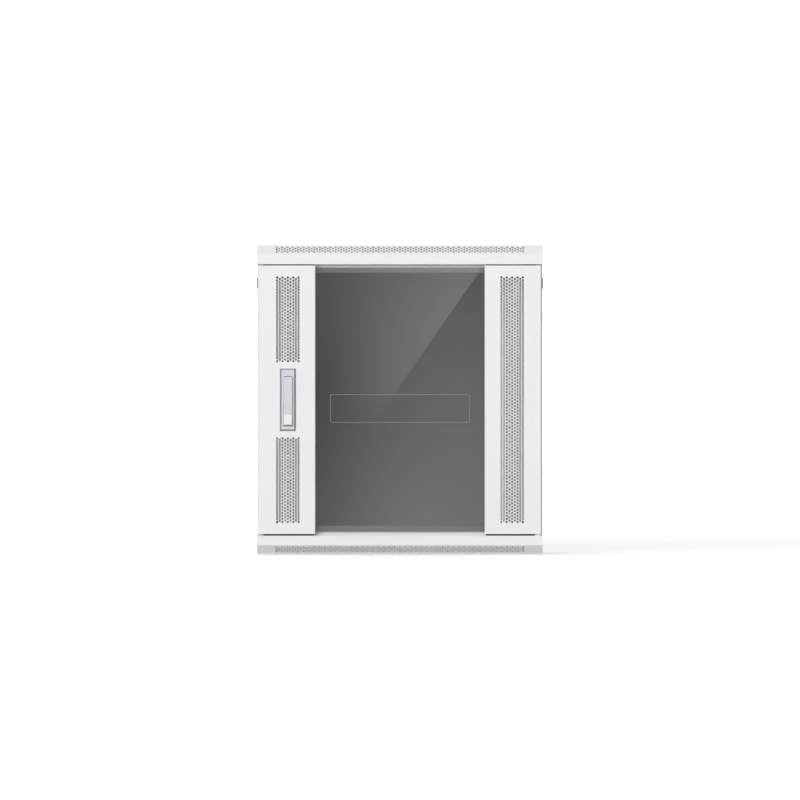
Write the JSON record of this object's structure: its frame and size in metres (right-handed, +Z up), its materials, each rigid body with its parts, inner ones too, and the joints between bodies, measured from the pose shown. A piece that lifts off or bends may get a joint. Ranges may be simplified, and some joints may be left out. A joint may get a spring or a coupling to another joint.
{
  "type": "network server rack cabinet",
  "caption": "Wall-hung 19-inch network cabinet: perforated steel door strips round tinted glass, swing handle, lift-off side panels and square-holed mounting rails.",
  "frame": {"origin": "centre of the base's underside", "axes": "+X to the right of someone facing the door, +Y back to the wall, +Z up"},
  "size_m": [0.605, 0.4634, 0.65],
  "materials": {
    "powder_coat": "satin powder coat",
    "tinted_glass": "polished",
    "zinc_plate": "zinc plated",
    "nickel": "nickel plated",
    "handle_grey": "moulded",
    "white_plastic": "moulded",
    "black_plastic": "moulded",
    "rubber": "matte",
    "brass": "machined"
  },
  "bodies": {
    "cabinet": {"roof_cover": "powder_coat", "base_cover": "powder_coat", "roof_entry_cover": "powder_coat", "base_entry_cover": "powder_coat", "entry_cover_screws": "zinc_plate", "front_post_left": "powder_coat", "front_post_right": "powder_coat", "rear_post_left": "powder_coat", "rear_post_right": "powder_coat", "header_rail": "powder_coat", "sill_rail": "powder_coat", "rear_panel": "powder_coat", "rear_panel_rivets": "zinc_plate", "upper_brace_left": "zinc_plate", "upper_brace_right": "zinc_plate", "lower_brace_left": "zinc_plate", "lower_brace_right": "zinc_plate", "rack_rail_front_left": "zinc_plate", "rack_rail_front_right": "zinc_plate", "rack_rail_rear_left": "zinc_plate", "rack_rail_rear_right": "zinc_plate", "rail_bolts": "zinc_plate", "rail_nuts": "zinc_plate", "earth_stud": "brass", "earth_washers": "brass", "earth_nuts": "brass", "hinge_pin_lower": "zinc_plate", "hinge_washer": "white_plastic"},
    "door": {"door_strip_left": "powder_coat", "door_strip_right": "powder_coat", "door_glass": "tinted_glass", "glass_bond": "rubber", "hinge_bracket_lower": "zinc_plate", "hinge_bracket_upper": "zinc_plate", "door_buffers": "rubber", "handle_housing": "handle_grey", "handle_backplate": "zinc_plate", "handle_screws": "zinc_plate"},
    "upper_pin": {"hinge_pin_upper": "zinc_plate", "hinge_spring": "zinc_plate"},
    "spindle": {"handle_spindle": "zinc_plate", "latch_cam": "zinc_plate", "latch_cam_screw": "zinc_plate"},
    "lever": {"handle_lever": "handle_grey", "lever_pin": "zinc_plate"},
    "keyhole_cover": {"keyhole_cover": "white_plastic"},
    "key_barrel": {"lever_lock_barrel": "nickel"},
    "side_panel_left": {"side_panel_left": "powder_coat", "finger_pull_left": "black_plastic", "side_lock_body_left": "black_plastic", "side_lock_nut_left": "nickel"},
    "side_cam_left": {"side_lock_barrel_left": "nickel", "side_lock_cam_left": "zinc_plate"},
    "side_panel_right": {"side_panel_right": "powder_coat", "finger_pull_right": "black_plastic", "side_lock_body_right": "black_plastic", "side_lock_nut_right": "nickel"},
    "side_cam_right": {"side_lock_barrel_right": "nickel", "side_lock_cam_right": "zinc_plate"}
  },
  "joints": [
    {"name": "door_swing", "type": "hinge", "parent": "cabinet", "child": "door", "pos_m": [0.29, -0.215, 0.3255], "axis": [0, 0, 1], "range_deg": [0, 180]},
    {"name": "upper_pin_pull", "type": "slide", "parent": "door", "child": "upper_pin", "axis": [0, 0, -1], "range_m": [0, 0.009], "stiffness_N_per_m": 600, "springref_m": -0.006, "deforming": ["hinge_spring"]},
    {"name": "lever_turn", "type": "hinge", "parent": "door", "child": "spindle", "pos_m": [-0.2355, -0.225, 0.36925], "axis": [0, -1, 0], "range_deg": [0, 90]},
    {"name": "lever_lift", "type": "hinge", "parent": "spindle", "child": "lever", "pos_m": [-0.2355, -0.23405, 0.36925], "axis": [-1, 0, 0], "range_deg": [0, 50]},
    {"name": "keyhole_cover_slide", "type": "slide", "parent": "lever", "child": "keyhole_cover", "axis": [0, 0, 1], "range_m": [0, 0.0205]},
    {"name": "key_turn", "type": "hinge", "parent": "lever", "child": "key_barrel", "pos_m": [-0.2355, -0.2335, 0.2837], "axis": [0, -1, 0], "range_deg": [0, 90]},
    {"name": "side_panel_tilt_left", "type": "hinge", "parent": "cabinet", "child": "side_panel_left", "pos_m": [-0.2985, 0, 0.041], "axis": [0, -1, 0], "range_deg": [0, 18]},
    {"name": "side_lock_turn_left", "type": "hinge", "parent": "side_panel_left", "child": "side_cam_left", "pos_m": [-0.29, 0, 0.573], "axis": [1, 0, 0], "range_deg": [0, 90]},
    {"name": "side_panel_tilt_right", "type": "hinge", "parent": "cabinet", "child": "side_panel_right", "pos_m": [0.2985, 0, 0.041], "axis": [0, 1, 0], "range_deg": [0, 18]},
    {"name": "side_lock_turn_right", "type": "hinge", "parent": "side_panel_right", "child": "side_cam_right", "pos_m": [0.29, 0, 0.573], "axis": [1, 0, 0], "range_deg": [0, 90]}
  ]
}
